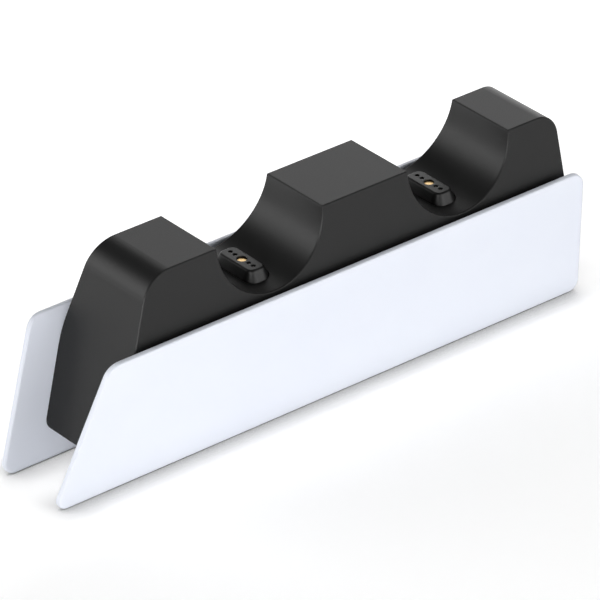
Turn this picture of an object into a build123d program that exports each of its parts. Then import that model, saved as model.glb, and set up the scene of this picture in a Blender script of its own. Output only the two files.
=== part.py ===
from build123d import *
from math import atan, cos, degrees, pi, radians, sin, tan
import os

# A charging dock for two game controllers. A black moulded body has three blocks with two
# half-round saddles between them, and two white panels flank it in a V and carry it.
# Millimetres. +X runs along the dock to its far end, +Z is up, and the origin is on the
# surface it stands on, under the middle of its overall length and width.

# Overall lengths
dock_length = 237.5  # tip to tip of the panels
middle_offset = 17.2  # middle block's centre, from the middle of the overall length

# White side panels
panel_height = 54.0
panel_thickness = 2.2
panel_lean = 7.8  # degrees that the tops lean outwards
panel_stance = 31.2  # across both outer faces at their bottom edges
near_rake = 20.0  # degrees that the near end slopes back from upright
far_rake = 6.1
panel_top_radius = 6.5
panel_bottom_radius = 4.0
panel_edge_radius = 0.5  # outer face
panel_edge_chamfer = 0.3  # inner face

# Black housing, outside
housing_top = 77.5
housing_bottom = 13.2
housing_top_width = 30.2
housing_side_lean = 8.0  # degrees that the upper sides lean outwards going down
saddle_radius = 23.3  # centred on the level of the block tops
saddle_pitch = 85.4
near_block_length = 30.0  # along the top, to the corner before rounding
far_block_length = 22.2
near_end_rake = 18.8
far_end_rake = 5.7
near_top_radius = 13.0
far_top_radius = 8.8
waist_radius = 40.0  # where the sides turn to follow the panels
side_bottom_radius = 3.0
housing_edge = 0.35  # chamfer

# Black housing, inside
housing_wall = 2.0
boss_radius = 3.2
boss_height = 13.0
boss_web = 1.8
pilot_radius = 1.1
pilot_end = 2.0  # solid left beyond a pilot hole
boss_margin = 0.6  # boss edge to the wall beside it, at the cover
boss_inset = 12.0  # boss edge to the end wall, at the cover

# Contact head in each saddle
head_rise = 4.3  # top face above the saddle's floor
head_length = 17.9  # across the dock, at the top face
head_width = 7.2
head_top_radius = 2.3
head_flare = 1.8  # growth of the outline on every side, down to the saddle
head_edge = 0.45  # chamfer
head_wall = 1.05
head_roof = 1.5
flange_thickness = 1.5
flange_margin = 1.6
seat_drop = 4.0  # saddle's floor down to the seat that the flange bears on
slot_clearance = 0.15

# Contacts
centre_hole_radius = 1.9
centre_contact_radius = 1.72
centre_contact_sink = 0.6
centre_stud_radius = 1.2
pin_hole_radius = 0.88
pin_inner_offset = 3.72  # centre of the head to the nearer pin
pin_pitch = 2.55
pin_radius = 0.68
pin_sink = 0.55
pin_collar_radius = 0.82
pin_collar_length = 0.7
barrel_radius = 1.1
barrel_bore_radius = 0.92
barrel_lip = 0.35
barrel_floor = 0.5
barrel_gap = 0.3  # barrel mouth to the underside of the head's roof
running_gap = 0.1
solder_tail_radius = 0.4
solder_tail_length = 2.2
spring_wire_radius = 0.12
spring_turns = 5
spring_runs = 9  # straight runs that draw one turn

# Circuit board
board_thickness = 1.6
board_width = 26.0
board_corner_radius = 2.0
board_near_margin = 18.0  # beyond the near head's centre
board_end_gap = 0.5  # between the board's end and the housing's end wall
board_screw_offset = 11.5
board_boss_radius = 2.6

# What stands on the board, in the room under the middle block
chip_size = 5.0
chip_height = 0.9
chip_spread = 12.0
inductor_size = 7.0
inductor_height = 4.0
inductor_corner_radius = 1.2
capacitor_radius = 3.15
capacitor_height = 7.7
capacitor_edge = 0.5
capacitor_y = 7.0

# Power socket, with the usual outside sizes of a USB Type-C receptacle
socket_width = 8.94
socket_height = 3.26
socket_length = 7.35
socket_wall = 0.3
socket_sink = 0.9
socket_recess_margin = 1.6
tongue_width = 6.7
tongue_thickness = 0.7
tongue_setback = 1.0
tongue_block = 1.6  # moulding that closes the rear of the shell

# Bottom cover
cover_thickness = 2.2
cover_gap = 0.25
cover_sink = 0.5
cover_rim = 1.4
cover_rim_height = 5.0
cover_rib_height = 2.4

# Screws
screw_radius = 1.0
screw_head_radius = 2.1
screw_head_height = 1.5
screw_hole_radius = 1.3
cross_length = 2.4
cross_width = 0.5
cross_depth = 0.8
cover_screw_length = 10.0
board_screw_length = 4.8
panel_screw_length = 2.8
panel_screw_head_radius = 3.6
panel_boss_radius = 2.5
panel_boss_gap = 0.2
panel_screw_height = 33.0
panel_screw_near_inset = 22.0
panel_screw_far_inset = 16.0
panel_screw_saddle_offset = 8.0

# Rubber foot strips in the panels' bottom edges
foot_length = 52.0
foot_width = 0.9
foot_depth = 1.1
foot_proud = 0.15
foot_end_margin = 22.0

os.makedirs("parts", exist_ok=True)

# Places worked out from the sizes above
lean_slope = tan(radians(panel_lean))
side_slope = tan(radians(housing_side_lean))
near_saddle_x = middle_offset - saddle_pitch / 2
far_saddle_x = middle_offset + saddle_pitch / 2
saddle_floor = housing_top - saddle_radius
head_height = saddle_floor + head_rise
seat_height = saddle_floor - seat_drop
panel_inner_foot = panel_stance / 2 - panel_thickness / cos(radians(panel_lean))
side_foot = housing_top_width / 2 + housing_top * side_slope
waist_z = (side_foot - panel_inner_foot) / (lean_slope + side_slope)
cover_bottom = housing_bottom + cover_sink
cover_top = cover_bottom + cover_thickness
board_top = seat_height - flange_thickness
board_bottom = board_top - board_thickness
heads = {"near": near_saddle_x, "far": far_saddle_x}


def panel_inner_y(z):
    """Half width between the panels' inner faces at a height."""
    return panel_inner_foot + z * lean_slope


def near_end_x(z):
    """Outer face of the housing's near end at a height."""
    top_x = near_saddle_x - saddle_radius - near_block_length
    return top_x - (housing_top - z) * tan(radians(near_end_rake))


def far_end_x(z):
    """Outer face of the housing's far end at a height."""
    top_x = far_saddle_x + saddle_radius + far_block_length
    return top_x + (housing_top - z) * tan(radians(far_end_rake))


def side_outline(bottom, inset):
    """The housing seen from the side: raked ends, rounded corners and two half-round saddles."""
    with BuildSketch(Plane.XZ) as outline:
        with BuildLine():
            Polyline(
                (near_end_x(bottom), bottom),
                (near_end_x(housing_top), housing_top),
                (far_end_x(housing_top), housing_top),
                (far_end_x(bottom), bottom),
                close=True,
            )
        make_face()
        fillet(outline.vertices().group_by(Axis.Y)[-1].sort_by(Axis.X)[0], radius=near_top_radius)
        fillet(outline.vertices().group_by(Axis.Y)[-1].sort_by(Axis.X)[-1], radius=far_top_radius)
        with Locations((near_saddle_x, housing_top), (far_saddle_x, housing_top)):
            Circle(saddle_radius, mode=Mode.SUBTRACT)
        if inset:
            offset(amount=-inset, kind=Kind.INTERSECTION)
    return outline.sketch


def end_outline(bottom, inset):
    """The housing's cross-section: it widens down to the waist, then narrows along the panels."""
    with BuildSketch(Plane.YZ) as outline:
        with BuildLine():
            Polyline(
                (-panel_inner_y(bottom), bottom),
                (-panel_inner_y(waist_z), waist_z),
                (-housing_top_width / 2, housing_top),
                (housing_top_width / 2, housing_top),
                (panel_inner_y(waist_z), waist_z),
                (panel_inner_y(bottom), bottom),
                close=True,
            )
        make_face()
        fillet(outline.vertices().group_by(Axis.Y)[1], radius=waist_radius)
        if inset:
            offset(amount=-inset, kind=Kind.INTERSECTION)
        else:
            fillet(outline.vertices().group_by(Axis.Y)[0], radius=side_bottom_radius)
    return outline.sketch


def rounded_outline(height, grow, radius):
    """The contact head's oblong outline on a level, grown on every side."""
    with BuildSketch(Plane.XY.offset(height)) as outline:
        RectangleRounded(head_width + 2 * grow, head_length + 2 * grow, radius)
    return outline.sketch


# The housing's outer form, before it is hollowed
with BuildPart() as housing_form:
    extrude(side_outline(housing_bottom, 0), amount=dock_length, both=True)
    extrude(end_outline(housing_bottom, 0), amount=dock_length, both=True, mode=Mode.INTERSECT)
    cross_edges = housing_form.edges().filter_by(Axis.Y)
    mouths = cross_edges.filter_by_position(
        Axis.X, near_saddle_x - saddle_radius, far_saddle_x + saddle_radius
    )
    long_edges = housing_form.edges().filter_by(Axis.X)
    rims = housing_form.edges() - cross_edges - long_edges
    chamfer(rims + mouths.group_by(Axis.Z)[-1] + long_edges.group_by(Axis.Z)[-1], length=housing_edge)

# The hollow inside it runs out through the bottom
open_bottom = housing_bottom - 3 * housing_wall
with BuildPart() as housing_hollow:
    extrude(side_outline(open_bottom, housing_wall), amount=dock_length, both=True)
    extrude(end_outline(open_bottom, housing_wall), amount=dock_length, both=True, mode=Mode.INTERSECT)

# Screw bosses for the bottom cover stand beside the side walls
cover_boss_y = panel_inner_y(cover_top) - housing_wall - boss_radius - boss_margin
cover_boss_x = [
    near_end_x(cover_top) + housing_wall + boss_radius + boss_inset,
    middle_offset,
    far_end_x(cover_top) - housing_wall - boss_radius - boss_inset,
]
cover_boss_places = [(x, y) for x in cover_boss_x for y in (-cover_boss_y, cover_boss_y)]
board_screw_places = [(x + side * board_screw_offset, 0) for x in heads.values() for side in (-1, 1)]
head_base_radius = head_top_radius + head_flare
seat_width = head_width + 2 * (head_flare + flange_margin)
seat_length = head_length + 2 * (head_flare + flange_margin)

with BuildPart() as housing_inside:
    with BuildSketch(Plane.XY.offset(cover_top)):
        with Locations(*cover_boss_places):
            Circle(boss_radius)
            Rectangle(boss_web, 2 * (boss_radius + 3 * housing_wall))
    extrude(amount=boss_height)
    with BuildSketch(Plane.XY.offset(seat_height)):
        with Locations((near_saddle_x, 0), (far_saddle_x, 0)):
            RectangleRounded(seat_width, seat_length, head_base_radius)
    extrude(amount=saddle_floor - seat_height + housing_wall)
    with BuildSketch(Plane.XY.offset(board_top)):
        with Locations(*board_screw_places):
            Circle(board_boss_radius)
    extrude(amount=saddle_floor - board_top + housing_wall)
    add(housing_form.part, mode=Mode.INTERSECT)

# Panel screws pass square through the leaning flanks
panel_screw_x = [
    near_end_x(panel_screw_height) + panel_screw_near_inset,
    near_saddle_x + panel_screw_saddle_offset,
    far_saddle_x - panel_screw_saddle_offset,
    far_end_x(panel_screw_height) - panel_screw_far_inset,
]


def flank_plane(x, side):
    """A plane on the panel's inner face, looking outwards from the middle of the dock."""
    y = side * panel_inner_y(panel_screw_height)
    outward = (0, side * cos(radians(panel_lean)), -sin(radians(panel_lean)))
    return Plane(origin=(x, y, panel_screw_height), x_dir=(1, 0, 0), z_dir=outward)


flank_planes = [flank_plane(x, side) for side in (-1, 1) for x in panel_screw_x]

# Power socket in the far end
socket_z = board_top + socket_height / 2
socket_mouth_x = far_end_x(socket_z) - socket_sink
socket_plane = Plane(origin=(socket_mouth_x, 0, socket_z), x_dir=(0, 1, 0), z_dir=(1, 0, 0))

with BuildPart() as upper_housing:
    add(housing_form.part)
    add(housing_hollow.part, mode=Mode.SUBTRACT)
    add(housing_inside.part)
    # pilot holes
    with BuildSketch(Plane.XY.offset(cover_top)):
        with Locations(*cover_boss_places):
            Circle(pilot_radius)
    extrude(amount=boss_height - pilot_end, mode=Mode.SUBTRACT)
    with BuildSketch(Plane.XY.offset(board_top)):
        with Locations(*board_screw_places):
            Circle(pilot_radius)
    extrude(amount=saddle_floor - board_top - pilot_end, mode=Mode.SUBTRACT)
    # slots that the contact heads rise through
    with BuildSketch(Plane.XY.offset(seat_height)):
        with Locations((near_saddle_x, 0), (far_saddle_x, 0)):
            RectangleRounded(
                head_width + 2 * (head_flare + slot_clearance),
                head_length + 2 * (head_flare + slot_clearance),
                head_base_radius + slot_clearance,
            )
    extrude(amount=head_height - seat_height, mode=Mode.SUBTRACT)
    # holes for the panel bosses
    for plane in flank_planes:
        with BuildSketch(plane):
            Circle(panel_boss_radius + slot_clearance)
        extrude(amount=-1.5 * housing_wall, mode=Mode.SUBTRACT)
    # opening and recess for the power socket
    with BuildSketch(socket_plane):
        SlotOverall(socket_width + 2 * socket_recess_margin, socket_height + 2 * socket_recess_margin)
    extrude(amount=2 * socket_sink, mode=Mode.SUBTRACT)
    with BuildSketch(socket_plane):
        SlotOverall(socket_width + 2 * slot_clearance, socket_height + 2 * slot_clearance)
    extrude(amount=-2 * housing_wall, mode=Mode.SUBTRACT)
upper_housing.part.label = "upper_housing"
export_step(upper_housing.part, "parts/upper_housing.step")

# Bottom cover: a plate with an upstanding rim and ribs, let into the housing
cover_inset = housing_wall + cover_gap
cover_rib_length = 2 * (panel_inner_y(cover_top) - cover_inset - cover_rim / 2)
with BuildPart() as cover_form:
    extrude(side_outline(open_bottom, cover_inset), amount=dock_length, both=True)
    extrude(end_outline(open_bottom, cover_inset), amount=dock_length, both=True, mode=Mode.INTERSECT)

with BuildPart() as cover_hollow:
    rim_inset = cover_inset + cover_rim
    extrude(side_outline(open_bottom, rim_inset), amount=dock_length, both=True)
    extrude(end_outline(open_bottom, rim_inset), amount=dock_length, both=True, mode=Mode.INTERSECT)

with BuildPart() as bottom_cover:
    with BuildSketch(Plane.XY.offset(cover_bottom)):
        Rectangle(2 * dock_length, 2 * panel_stance)
    extrude(amount=cover_thickness + cover_rim_height)
    add(cover_form.part, mode=Mode.INTERSECT)
    # hollow above the plate, with cross ribs left standing
    with BuildSketch(Plane.XY.offset(cover_top)):
        Rectangle(2 * dock_length, 2 * panel_stance)
    hollow_above = extrude(amount=2 * cover_rim_height, mode=Mode.PRIVATE)
    add(hollow_above & cover_hollow.part, mode=Mode.SUBTRACT)
    with BuildSketch(Plane.XY.offset(cover_top)):
        with Locations(*[(x, 0) for x in panel_screw_x]):
            Rectangle(cover_rim, cover_rib_length)
    extrude(amount=cover_rib_height)
    # room for the housing's bosses, and screw holes from below
    with BuildSketch(Plane.XY.offset(cover_top)):
        with Locations(*cover_boss_places):
            Circle(boss_radius + cover_gap)
            Rectangle(boss_web + 2 * cover_gap, 2 * (boss_radius + 3 * housing_wall))
    extrude(amount=2 * cover_rim_height, mode=Mode.SUBTRACT)
    with Locations(*[Location((x, y, cover_bottom), (180, 0, 0)) for x, y in cover_boss_places]):
        CounterBoreHole(
            screw_hole_radius,
            screw_head_radius + slot_clearance,
            screw_head_height,
            cover_thickness + cover_rim_height,
        )
bottom_cover.part.label = "bottom_cover"
export_step(bottom_cover.part, "parts/bottom_cover.step")


# the outer edge of a leaning panel hangs lower than its inner edge, and only the feet touch down
panel_inner_low = foot_proud + panel_thickness * sin(radians(panel_lean))


def corner_setback(rake):
    """How far a panel's rounded tip stays inside the place where its raked edge meets the floor."""
    rounding = panel_bottom_radius * (1 / tan(radians(90 - rake) / 2) - 1)
    return rounding + panel_inner_low * tan(radians(rake))


near_corner_x = -dock_length / 2 - corner_setback(near_rake)
far_corner_x = dock_length / 2 + corner_setback(far_rake)
foot_inset = foot_end_margin + foot_length / 2
foot_places = [near_corner_x + foot_inset, far_corner_x - foot_inset]
foot_y = panel_inner_foot + panel_thickness / 2


def side_panel(side, name):
    """A raked panel with rounded corners, four screw bosses inside and two grooves below."""
    slant = 1 / cos(radians(panel_lean))
    outward = (0, side * cos(radians(panel_lean)), -sin(radians(panel_lean)))
    inner_face = Plane(origin=(0, side * panel_inner_foot, 0), x_dir=(-side, 0, 0), z_dir=outward)
    with BuildPart() as panel:
        with BuildSketch(inner_face) as outline:
            near_top_x = near_corner_x + panel_height * tan(radians(near_rake))
            far_top_x = far_corner_x - panel_height * tan(radians(far_rake))
            near_low_x = near_corner_x + panel_inner_low * tan(radians(near_rake))
            far_low_x = far_corner_x - panel_inner_low * tan(radians(far_rake))
            with BuildLine():
                Polyline(
                    (-side * near_low_x, panel_inner_low * slant),
                    (-side * near_top_x, panel_height * slant),
                    (-side * far_top_x, panel_height * slant),
                    (-side * far_low_x, panel_inner_low * slant),
                    close=True,
                )
            make_face()
            fillet(outline.vertices().group_by(Axis.Y)[-1], radius=panel_top_radius)
            fillet(outline.vertices().group_by(Axis.Y)[0], radius=panel_bottom_radius)
        extrude(amount=panel_thickness)
        panel_faces = panel.faces().sort_by(Axis((0, 0, 0), outward))
        inner_edges = panel_faces[0].edges()
        fillet(panel_faces[-1].edges(), radius=panel_edge_radius)
        chamfer(inner_edges, length=panel_edge_chamfer)
        for plane in flank_planes:
            if plane.origin.Y * side > 0:
                with BuildSketch(plane):
                    Circle(panel_boss_radius)
                extrude(amount=-(housing_wall - panel_boss_gap))
                with BuildSketch(plane.offset(-housing_wall)):
                    Circle(pilot_radius)
                extrude(amount=housing_wall + panel_thickness / 2, mode=Mode.SUBTRACT)
        with BuildSketch(Plane.XY):
            with Locations(*[(x, side * foot_y) for x in foot_places]):
                Rectangle(foot_length + 2 * running_gap, foot_width + 2 * running_gap)
        extrude(amount=foot_depth + foot_proud, mode=Mode.SUBTRACT)
    panel.part.label = name
    export_step(panel.part, f"parts/{name}.step")


side_panel(-1, "front_panel")
side_panel(1, "rear_panel")

with BuildPart() as foot_strips:
    with BuildSketch(Plane.XY):
        with Locations(*[(x, side * foot_y) for x in foot_places for side in (-1, 1)]):
            Rectangle(foot_length, foot_width)
    extrude(amount=foot_depth + foot_proud)
foot_strips.part.label = "foot_strips"
export_step(foot_strips.part, "parts/foot_strips.step")

# Contact heads and what stands in them
pin_offsets = [
    -pin_inner_offset - pin_pitch,
    -pin_inner_offset,
    pin_inner_offset,
    pin_inner_offset + pin_pitch,
]
barrel_mouth = head_height - head_roof - barrel_gap
spring_bottom = board_top + barrel_floor
collar_top = barrel_mouth - barrel_lip - running_gap
collar_bottom = collar_top - pin_collar_length
spring_length = collar_bottom - spring_bottom
spring_radius = barrel_bore_radius - running_gap - spring_wire_radius


def contact_head(x, name):
    """A flared oblong cap, hollow below, with a flange that bears on the seat."""
    with BuildPart() as head:
        extrude(
            rounded_outline(saddle_floor, head_flare, head_base_radius),
            amount=head_rise,
            taper=degrees(atan(head_flare / head_rise)),
        )
        chamfer(head.edges().group_by(Axis.Z)[-1], length=head_edge)
        extrude(rounded_outline(board_top, head_flare, head_base_radius), amount=saddle_floor - board_top)
        extrude(
            rounded_outline(board_top, head_flare + flange_margin, head_base_radius),
            amount=flange_thickness,
        )
        extrude(
            rounded_outline(board_top, -head_wall, head_top_radius - head_wall),
            amount=head_height - head_roof - board_top,
            mode=Mode.SUBTRACT,
        )
        with BuildSketch(Plane.XY.offset(board_top)):
            Circle(centre_hole_radius)
            with Locations(*[(0, y) for y in pin_offsets]):
                Circle(pin_hole_radius)
        extrude(amount=head_height, mode=Mode.SUBTRACT)
    placed = head.part.moved(Location((x, 0, 0)))
    placed.label = name
    export_step(placed, f"parts/{name}.step")


def centre_contact(x, name):
    """A gilt disc on a stud that is soldered to the board."""
    with BuildPart() as contact:
        with BuildSketch(Plane.XY.offset(board_top)):
            with Locations((x, 0)):
                Circle(centre_stud_radius)
        extrude(amount=head_height - centre_contact_sink - board_top)
        with BuildSketch(Plane.XY.offset(head_height - centre_contact_sink)):
            with Locations((x, 0)):
                Circle(centre_contact_radius)
        extrude(amount=-head_roof)
        chamfer(contact.edges().group_by(Axis.Z)[-1], length=running_gap)
    contact.part.label = name
    export_step(contact.part, f"parts/{name}.step")


def pin_barrels(x, name):
    """Four turned tubes with a lip that keeps each pin in, and a tail soldered to the board."""
    with BuildPart() as barrels:
        for y in pin_offsets:
            with BuildSketch(Plane(origin=(x, y, board_top), x_dir=(1, 0, 0), z_dir=(0, -1, 0))):
                with BuildLine():
                    Polyline(
                        (0, -solder_tail_length),
                        (solder_tail_radius, -solder_tail_length),
                        (solder_tail_radius, 0),
                        (barrel_radius, 0),
                        (barrel_radius, barrel_mouth - board_top),
                        (pin_radius + running_gap, barrel_mouth - board_top),
                        (pin_radius + running_gap, barrel_mouth - board_top - barrel_lip),
                        (barrel_bore_radius, barrel_mouth - board_top - barrel_lip),
                        (barrel_bore_radius, barrel_floor),
                        (0, barrel_floor),
                        close=True,
                    )
                make_face()
            revolve(axis=Axis((x, y, 0), (0, 0, 1)))
    barrels.part.label = name
    export_step(barrels.part, f"parts/{name}.step")


def contact_pin(x, y, name):
    """A turned pin: a flat tip with a bevelled edge, and a collar that the spring pushes."""
    tip = head_height - pin_sink
    with BuildPart() as pin:
        with BuildSketch(Plane(origin=(x, y, 0), x_dir=(1, 0, 0), z_dir=(0, -1, 0))):
            with BuildLine():
                Polyline(
                    (0, collar_bottom),
                    (pin_collar_radius, collar_bottom),
                    (pin_collar_radius, collar_top),
                    (pin_radius, collar_top),
                    (pin_radius, tip - pin_radius / 3),
                    (2 * pin_radius / 3, tip),
                    (0, tip),
                    close=True,
                )
            make_face()
        revolve(axis=Axis((x, y, 0), (0, 0, 1)))
    pin.part.label = name
    export_step(pin.part, f"parts/{name}.step")


def pin_spring(x, y, name):
    """The coil spring between the barrel's floor and the pin's collar, drawn in straight runs."""
    rise = spring_length - 2 * spring_wire_radius - 2 * running_gap
    start_z = spring_bottom + spring_wire_radius + running_gap
    runs = spring_turns * spring_runs
    coil_points = [
        (
            x + spring_radius * cos(2 * pi * run / spring_runs),
            y + spring_radius * sin(2 * pi * run / spring_runs),
            start_z + rise * run / runs,
        )
        for run in range(runs + 1)
    ]
    with BuildPart() as spring:
        with BuildLine() as coil:
            Polyline(*coil_points)
        with BuildSketch(Plane(origin=coil.line @ 0, z_dir=coil.line % 0)):
            RegularPolygon(spring_wire_radius, 4)
        sweep(path=coil.line, transition=Transition.RIGHT)
    spring.part.label = name
    export_step(spring.part, f"parts/{name}.step")


for place, head_x in heads.items():
    contact_head(head_x, f"{place}_contact_head")
    centre_contact(head_x, f"{place}_centre_contact")
    pin_barrels(head_x, f"{place}_pin_barrels")
    for number, pin_y in enumerate(pin_offsets, start=1):
        contact_pin(head_x, pin_y, f"{place}_pin_{number}")
        pin_spring(head_x, pin_y, f"{place}_pin_spring_{number}")

# Main board, with holes for the solder tails and the board screws
board_near_x = near_saddle_x - board_near_margin
board_far_x = far_end_x(board_top) - housing_wall / cos(radians(far_end_rake)) - board_end_gap
with BuildPart() as main_board:
    with BuildSketch(Plane.XY.offset(board_bottom)):
        with Locations(((board_near_x + board_far_x) / 2, 0)):
            RectangleRounded(board_far_x - board_near_x, board_width, board_corner_radius)
        with Locations(*board_screw_places):
            Circle(screw_hole_radius, mode=Mode.SUBTRACT)
        with Locations(*[(x, y) for x in heads.values() for y in pin_offsets]):
            Circle(solder_tail_radius, mode=Mode.SUBTRACT)
    extrude(amount=board_thickness)
main_board.part.label = "main_board"
export_step(main_board.part, "parts/main_board.step")

with BuildPart() as charge_controllers:
    with BuildSketch(Plane.XY.offset(board_top)):
        with Locations((middle_offset - chip_spread, 0), (middle_offset + chip_spread, 0)):
            Rectangle(chip_size, chip_size)
    extrude(amount=chip_height)
charge_controllers.part.label = "charge_controllers"
export_step(charge_controllers.part, "parts/charge_controllers.step")

with BuildPart() as power_inductors:
    with BuildSketch(Plane.XY.offset(board_top)):
        with Locations((middle_offset, -capacitor_y), (middle_offset, capacitor_y)):
            RectangleRounded(inductor_size, inductor_size, inductor_corner_radius)
    extrude(amount=inductor_height)
power_inductors.part.label = "power_inductors"
export_step(power_inductors.part, "parts/power_inductors.step")

with BuildPart() as capacitors:
    with BuildSketch(Plane.XY.offset(board_top)):
        with GridLocations(2 * chip_spread, 2 * capacitor_y, 2, 2):
            with Locations((middle_offset, 0)):
                Circle(capacitor_radius)
    extrude(amount=capacitor_height)
    chamfer(capacitors.edges().group_by(Axis.Z)[-1], length=capacitor_edge)
capacitors.part.label = "capacitors"
export_step(capacitors.part, "parts/capacitors.step")

# Power socket: a folded steel shell, and the tongue that stands in it
with BuildPart() as usb_socket_shell:
    with BuildSketch(socket_plane):
        SlotOverall(socket_width, socket_height)
        SlotOverall(socket_width - 2 * socket_wall, socket_height - 2 * socket_wall, mode=Mode.SUBTRACT)
    extrude(amount=-socket_length)
usb_socket_shell.part.label = "usb_socket_shell"
export_step(usb_socket_shell.part, "parts/usb_socket_shell.step")

with BuildPart() as usb_socket_tongue:
    with BuildSketch(socket_plane.offset(-socket_length)):
        SlotOverall(socket_width - 2 * socket_wall, socket_height - 2 * socket_wall)
    extrude(amount=tongue_block)
    with BuildSketch(socket_plane.offset(-socket_length)):
        Rectangle(tongue_width, tongue_thickness)
    extrude(amount=socket_length - tongue_setback)
usb_socket_tongue.part.label = "usb_socket_tongue"
export_step(usb_socket_tongue.part, "parts/usb_socket_tongue.step")


def pan_head_screws(planes, length, head_radius, name):
    """Screws whose heads bear on the given planes, with a cross recess in each head."""
    with BuildPart() as screws:
        for plane in planes:
            with BuildSketch(plane):
                Circle(head_radius)
            extrude(amount=screw_head_height)
            with BuildSketch(plane):
                Circle(screw_radius)
            extrude(amount=-length)
            with BuildSketch(plane.offset(screw_head_height)):
                Rectangle(cross_length, cross_width)
                Rectangle(cross_width, cross_length)
            extrude(amount=-cross_depth, mode=Mode.SUBTRACT)
    screws.part.label = name
    export_step(screws.part, f"parts/{name}.step")


def facing_down(x, y, z):
    """A plane at a place, looking down."""
    return Plane(origin=(x, y, z), x_dir=(1, 0, 0), z_dir=(0, 0, -1))


pan_head_screws(
    [facing_down(x, y, cover_bottom + screw_head_height) for x, y in cover_boss_places],
    cover_screw_length,
    screw_head_radius,
    "cover_screws",
)
pan_head_screws(
    [facing_down(x, y, board_bottom) for x, y in board_screw_places],
    board_screw_length,
    screw_head_radius,
    "board_screws",
)
pan_head_screws(
    [
        Plane(origin=(plane.offset(-housing_wall)).origin, x_dir=(1, 0, 0), z_dir=-plane.z_dir)
        for plane in flank_planes
    ],
    panel_screw_length,
    panel_screw_head_radius,
    "panel_screws",
)
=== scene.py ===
# %% [markdown]
# # A controller charging dock, dressed for a product photograph
#
# The construction of this dock is already solved: every moulded part, contact and screw exists as
# a solid at its real size. What is missing is how it looks. In this lesson we give each part the
# finish that its real material and its real process leave behind, we add the small things that
# repeat, such as springs, screws and contact strips, and we light it the way a catalogue would.

# %% Load the solids
import math

import bmesh
import bpy
from mathutils import Matrix, Vector


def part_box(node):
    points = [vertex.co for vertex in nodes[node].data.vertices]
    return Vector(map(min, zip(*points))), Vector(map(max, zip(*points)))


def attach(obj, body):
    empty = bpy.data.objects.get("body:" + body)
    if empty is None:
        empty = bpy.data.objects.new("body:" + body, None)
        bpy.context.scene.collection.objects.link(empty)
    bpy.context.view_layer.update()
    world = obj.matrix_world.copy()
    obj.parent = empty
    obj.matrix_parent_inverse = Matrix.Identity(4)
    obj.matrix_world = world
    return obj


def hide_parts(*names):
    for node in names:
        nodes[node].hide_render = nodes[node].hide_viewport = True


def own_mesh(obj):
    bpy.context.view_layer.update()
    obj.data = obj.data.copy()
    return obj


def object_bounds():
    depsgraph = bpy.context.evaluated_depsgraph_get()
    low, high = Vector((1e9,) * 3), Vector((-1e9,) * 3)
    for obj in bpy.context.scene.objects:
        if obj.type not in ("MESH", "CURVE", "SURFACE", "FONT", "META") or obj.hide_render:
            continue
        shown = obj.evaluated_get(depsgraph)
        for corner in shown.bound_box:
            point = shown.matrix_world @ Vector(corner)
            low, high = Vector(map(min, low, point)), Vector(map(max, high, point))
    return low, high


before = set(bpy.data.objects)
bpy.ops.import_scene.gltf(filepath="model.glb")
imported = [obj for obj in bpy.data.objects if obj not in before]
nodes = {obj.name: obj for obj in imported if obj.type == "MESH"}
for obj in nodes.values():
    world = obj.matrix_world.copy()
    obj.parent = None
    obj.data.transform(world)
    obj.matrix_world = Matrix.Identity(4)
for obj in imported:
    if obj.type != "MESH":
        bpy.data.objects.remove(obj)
solid_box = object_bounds()

# %% [markdown]
# ## Two habits: millimetres and hex colours
#
# Blender works in metres, but a dock is drawn in millimetres, so one constant converts them.
# Colours are easiest to pick as hex values, which are sRGB. Shaders compute in linear light, so
# one function converts them. Skipping it is the usual reason that dark plastics come out milky.

# %% Units and colours
MM = 0.001


def colour(code):
    """The linear RGBA of an sRGB hex code."""
    parts = [int(code[i : i + 2], 16) / 255 for i in (1, 3, 5)]
    linear = [p / 12.92 if p <= 0.04045 else ((p + 0.055) / 1.055) ** 2.4 for p in parts]
    return (*linear, 1.0)


print("mid grey #808080 in linear light:", [round(c, 3) for c in colour("#808080")])

# %% [markdown]
# ## One helper for every node
#
# Materials and Geometry Nodes are both node trees. A single function that adds a node, sets its
# options and fills or links its inputs keeps each recipe short enough to read in one go.


# %% The node helper
def add_node(tree, kind, options=None, inputs=None):
    """Adds a node: options are its own settings, inputs are values, or sockets to link from."""
    made = tree.nodes.new(kind)
    for name, value in (options or {}).items():
        setattr(made, name, value)
    for name, value in (inputs or {}).items():
        if isinstance(value, bpy.types.NodeSocket):
            tree.links.new(value, made.inputs[name])
        else:
            made.inputs[name].default_value = value
    return made


def new_finish(name):
    """An empty material, with its tree and the Principled shader that all finishes here use."""
    material = bpy.data.materials.new(name)
    material.use_nodes = True
    tree = material.node_tree
    tree.nodes.clear()
    shader = add_node(tree, "ShaderNodeBsdfPrincipled")
    add_node(tree, "ShaderNodeOutputMaterial", inputs={"Surface": shader.outputs["BSDF"]})
    return material, tree, shader


print("node helpers ready")

# %% [markdown]
# ## Patterns that stay on the piece
#
# Every grain and every working mark here is a noise. It reads the piece's own coordinates, in
# metres, so its features have a real size and move with the piece. Most values of a noise lie
# between 0.3 and 0.7, so one helper spreads that stretch over the range that a finish needs. The
# same noise raises the surface by a real depth, through a Bump node.

# %% Pattern helpers
NOISE_LOW = 0.3
NOISE_HIGH = 0.7
EDGE_SAMPLES = 4
# A Mix node has a set of sockets for each kind of data, all under the same names. These are the
# places of the ones for colour.
COLOUR_A = 6
COLOUR_B = 7
COLOUR_RESULT = 2


def piece_noise(tree, size, detail=2.0, stretch=(1, 1, 1)):
    """Noise on the piece's own coordinates, with features of one size in metres."""
    place = add_node(tree, "ShaderNodeTexCoord")
    mapping = add_node(
        tree, "ShaderNodeMapping", inputs={"Vector": place.outputs["Object"], "Scale": stretch}
    )
    return add_node(
        tree,
        "ShaderNodeTexNoise",
        inputs={"Vector": mapping.outputs["Vector"], "Scale": 1 / size, "Detail": detail},
    )


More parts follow.
